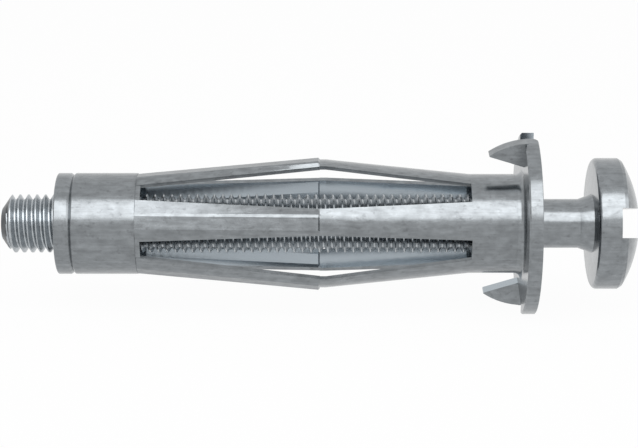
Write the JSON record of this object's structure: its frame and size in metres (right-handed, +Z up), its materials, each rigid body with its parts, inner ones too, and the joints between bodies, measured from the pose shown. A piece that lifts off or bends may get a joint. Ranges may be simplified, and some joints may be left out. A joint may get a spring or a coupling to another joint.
{
  "type": "metal hollow wall anchor",
  "caption": "Expanding metal hollow wall anchor: a slotted sleeve with a clawed flange and a pressed-in rear nut, drawn up by a slotted pan-head machine screw.",
  "frame": {"origin": "centre of the flange's rear face, the face that bears on the wall", "axes": "+X along the screw's axis towards its head, +Z up, +Y away from the viewer of the picture"},
  "size_m": [0.065, 0.0186, 0.0184],
  "materials": {
    "sleeve_steel": "bright zinc plating",
    "nut_steel": "bright zinc plating",
    "screw_steel": "bright zinc plating"
  },
  "bodies": {
    "anchor": {"sleeve": "sleeve_steel", "nut": "nut_steel"},
    "screw": {"screw": "screw_steel"}
  },
  "joints": [
    {"name": "screw_travel", "type": "slide", "parent": "anchor", "child": "screw", "axis": [1, 0, 0], "range_m": [-0.00583, 0.064]}
  ]
}
